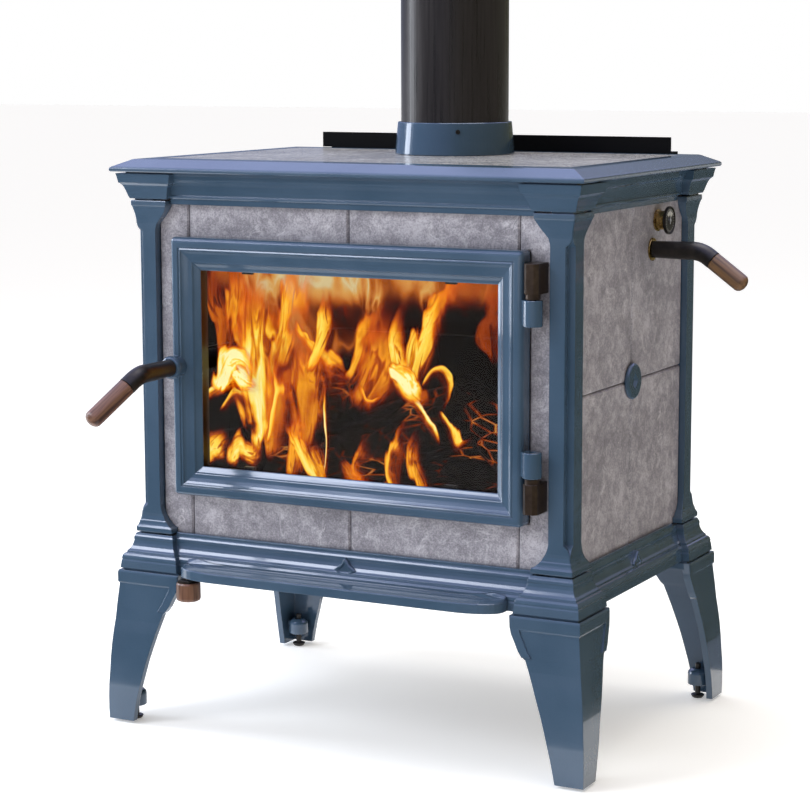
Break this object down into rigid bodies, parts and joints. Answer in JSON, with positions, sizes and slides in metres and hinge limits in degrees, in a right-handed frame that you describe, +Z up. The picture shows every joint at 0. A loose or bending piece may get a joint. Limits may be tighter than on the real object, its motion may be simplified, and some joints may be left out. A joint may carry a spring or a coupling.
{
  "type": "wood burning stove",
  "caption": "Free-standing wood stove: soapstone panels in an enamelled cast iron frame on flared legs, glazed side-hinged door, top flue collar and pipe.",
  "frame": {"origin": "centre of the bounding box's bottom face, at floor level", "axes": "+X to the stove's right as seen from the front, -Y out of the glazed front, +Z up"},
  "size_m": [0.8138, 0.6506, 1.1051],
  "materials": {
    "enamel": "glossy blue porcelain enamel on cast iron",
    "zinc": "zinc plated steel",
    "soapstone_top": "polished pale grey soapstone",
    "soapstone": "honed mottled grey soapstone",
    "black_iron": "black painted iron",
    "black_steel": "black oxide coated steel bolt",
    "flue_steel": "satin black stove pipe",
    "shield_steel": "matt black painted sheet steel",
    "firebrick": "rough refractory",
    "walnut": "oiled turned wood",
    "glass": "clear ceramic glass"
  },
  "bodies": {
    "root": {"leg_front_left": "enamel", "leg_front_right": "enamel", "leg_rear_left": "enamel", "leg_rear_right": "enamel", "post_front_left": "enamel", "post_front_right": "enamel", "post_rear_left": "enamel", "post_rear_right": "enamel", "base_front": "enamel", "base_rear": "enamel", "base_left": "enamel", "base_right": "enamel", "cornice_front": "enamel", "cornice_rear": "enamel", "cornice_left": "enamel", "cornice_right": "enamel", "top_frame": "enamel", "medallion_left": "enamel", "medallion_right": "enamel", "flue_collar": "enamel", "ash_lip": "enamel", "leveller_front_left": "black_steel", "leveller_front_right": "black_steel", "leveller_rear_left": "black_steel", "leveller_rear_right": "black_steel", "top_stone_left": "soapstone_top", "top_stone_right": "soapstone_top", "stone_front_column_left": "soapstone", "stone_front_column_right": "soapstone", "stone_front_upper_left": "soapstone", "stone_front_upper_right": "soapstone", "stone_front_lower_left": "soapstone", "stone_front_lower_right": "soapstone", "stone_left_front_upper": "soapstone", "stone_left_front_lower": "soapstone", "stone_left_rear_upper": "soapstone", "stone_left_rear_lower": "soapstone", "stone_right_front_upper": "soapstone", "stone_right_front_lower": "soapstone", "stone_right_rear_upper": "soapstone", "stone_right_rear_lower": "soapstone", "door_surround": "black_iron", "back_panel": "black_iron", "smoke_baffle": "black_iron", "hinge_upper": "black_iron", "hinge_lower": "black_iron", "gauge_dial": "black_iron", "flue_pipe": "flue_steel", "rear_shield": "shield_steel", "hearth_floor": "firebrick"},
    "door": {"door_frame": "enamel", "door_glass": "glass"},
    "door_handle": {"handle_shaft": "black_iron", "handle_grip": "walnut"},
    "bypass": {"bypass_shaft": "black_iron", "bypass_grip": "walnut"},
    "air_control": {"air_lever": "black_iron", "air_knob": "walnut"},
    "pointer": {"gauge_pointer": "zinc"}
  },
  "joints": [
    {"name": "door_hinge", "type": "hinge", "parent": "root", "child": "door", "pos_m": [0.23116, -0.16385, 0.50475], "axis": [0, 0, 1], "range_deg": [0, 120]},
    {"name": "door_latch", "type": "hinge", "parent": "door", "child": "door_handle", "pos_m": [-0.30184, -0.16435, 0.50475], "axis": [0, 1, 0], "range_deg": [0, 90]},
    {"name": "bypass_turn", "type": "hinge", "parent": "root", "child": "bypass", "pos_m": [0.27016, 0.13916, 0.6631], "axis": [1, 0, 0], "range_deg": [0, 80]},
    {"name": "air_control_slide", "type": "slide", "parent": "root", "child": "air_control", "axis": [1, 0, 0], "range_m": [0, 0.1]},
    {"name": "gauge_pointer_turn", "type": "hinge", "parent": "root", "child": "pointer", "pos_m": [0.28966, 0.15715, 0.7015], "axis": [1, 0, 0], "range_deg": [-120, 120]}
  ]
}
